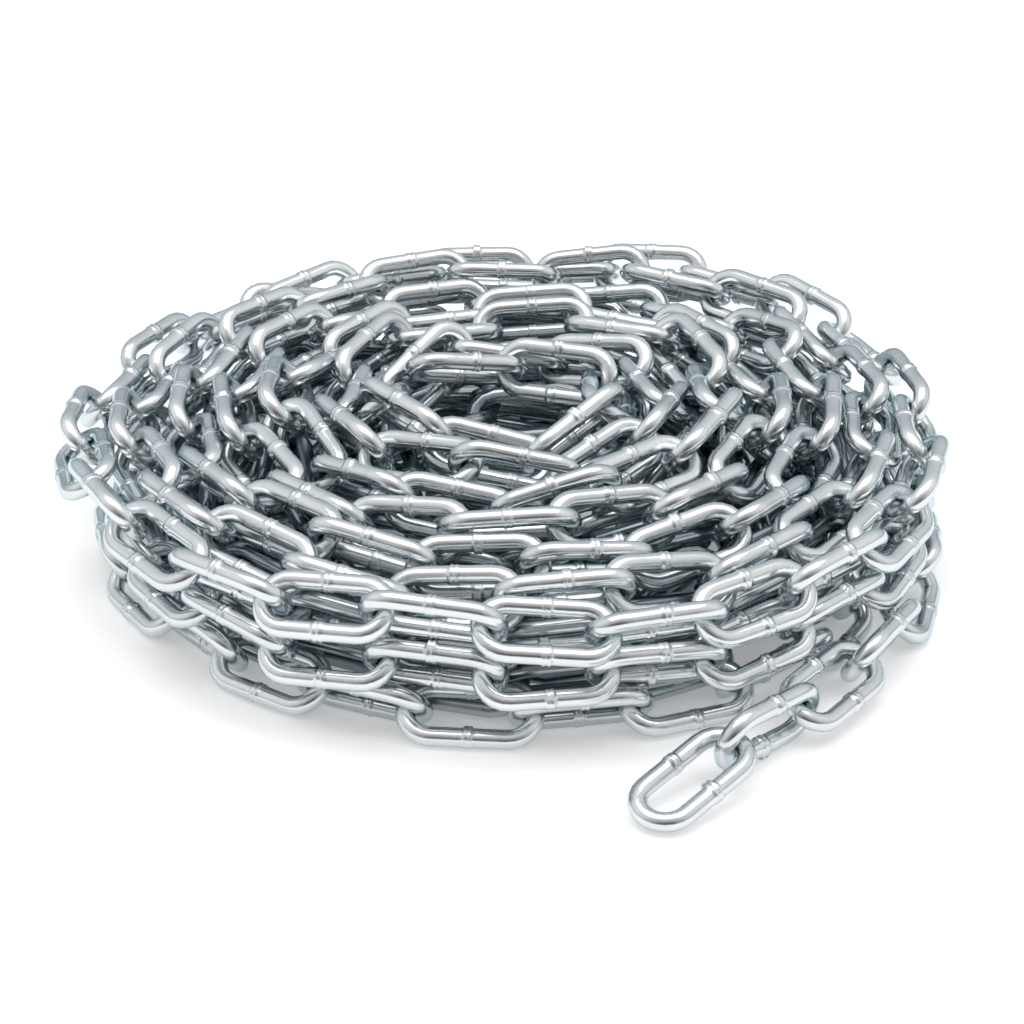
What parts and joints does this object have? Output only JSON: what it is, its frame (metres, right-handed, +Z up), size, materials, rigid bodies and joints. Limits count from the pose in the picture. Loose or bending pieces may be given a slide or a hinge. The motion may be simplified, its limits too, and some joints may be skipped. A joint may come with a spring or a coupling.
{
  "type": "coiled steel chain",
  "caption": "Length of short-link welded steel chain laid as a round flat coil in layers, with its loose end lying beside it. Bright zinc plate.",
  "frame": {"origin": "on the floor under the middle of the coil", "axes": "+Z up, -Y towards the loose end's link"},
  "size_m": [0.3035, 0.3396, 0.0663],
  "materials": {
    "zinc_plated_steel": "bright zinc plate, glossy"
  },
  "bodies": {
    "root": {"bottom_turn_01": "zinc_plated_steel", "bottom_turn_02": "zinc_plated_steel", "bottom_turn_03": "zinc_plated_steel", "bottom_turn_04": "zinc_plated_steel", "end_link": "zinc_plated_steel", "hidden_turns": "zinc_plated_steel", "middle_turn_01": "zinc_plated_steel", "middle_turn_02": "zinc_plated_steel", "middle_turn_03": "zinc_plated_steel", "middle_turn_04": "zinc_plated_steel", "tail_link_2": "zinc_plated_steel", "tail_link_3": "zinc_plated_steel", "tail_link_4": "zinc_plated_steel", "tail_link_5": "zinc_plated_steel", "tail_link_6": "zinc_plated_steel", "tail_link_7": "zinc_plated_steel", "tail_link_8": "zinc_plated_steel", "top_layer_01": "zinc_plated_steel", "top_layer_02": "zinc_plated_steel", "top_layer_03": "zinc_plated_steel", "top_layer_04": "zinc_plated_steel", "top_layer_05": "zinc_plated_steel", "top_layer_06": "zinc_plated_steel", "top_layer_07": "zinc_plated_steel", "top_layer_08": "zinc_plated_steel", "top_layer_09": "zinc_plated_steel", "top_layer_10": "zinc_plated_steel", "top_layer_11": "zinc_plated_steel", "top_layer_12": "zinc_plated_steel", "top_layer_13": "zinc_plated_steel", "top_layer_14": "zinc_plated_steel", "top_layer_15": "zinc_plated_steel", "top_layer_16": "zinc_plated_steel", "top_layer_17": "zinc_plated_steel", "top_layer_18": "zinc_plated_steel", "top_layer_19": "zinc_plated_steel", "top_layer_20": "zinc_plated_steel"}
  },
  "joints": []
}
